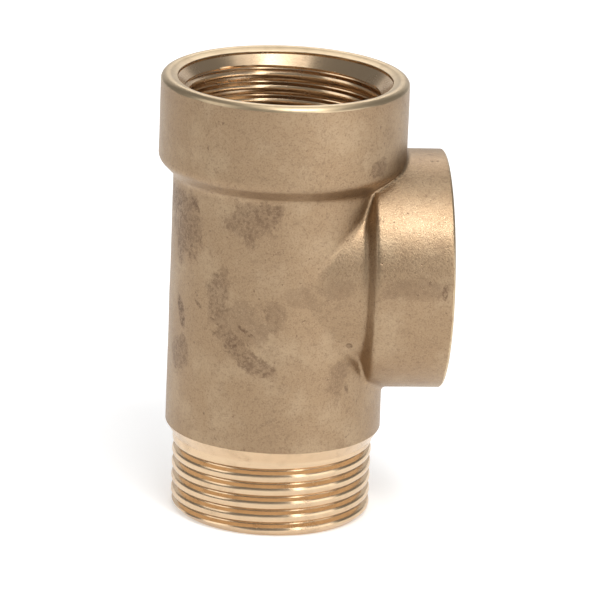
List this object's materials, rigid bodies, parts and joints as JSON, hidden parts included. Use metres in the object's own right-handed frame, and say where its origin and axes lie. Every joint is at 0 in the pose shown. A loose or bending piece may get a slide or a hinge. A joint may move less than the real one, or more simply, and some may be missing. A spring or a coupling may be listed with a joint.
{
  "type": "tee fitting",
  "caption": "Cast bronze threaded tee: female sockets with reinforcing bands on the top and the side branch, male pipe thread at the bottom.",
  "frame": {"origin": "centre of the bounding box's footprint, on the plane of the male end's face", "axes": "+Z along the run's axis from the male end to the top socket, +X along the branch's axis and out of its socket, +Y across both"},
  "size_m": [0.0476, 0.0408, 0.0744],
  "materials": {
    "cast_bronze": "as-cast, dull and finely grained outside, with bright machined threads, socket rims and end faces"
  },
  "bodies": {
    "root": {"tee_body": "cast_bronze"}
  },
  "joints": []
}
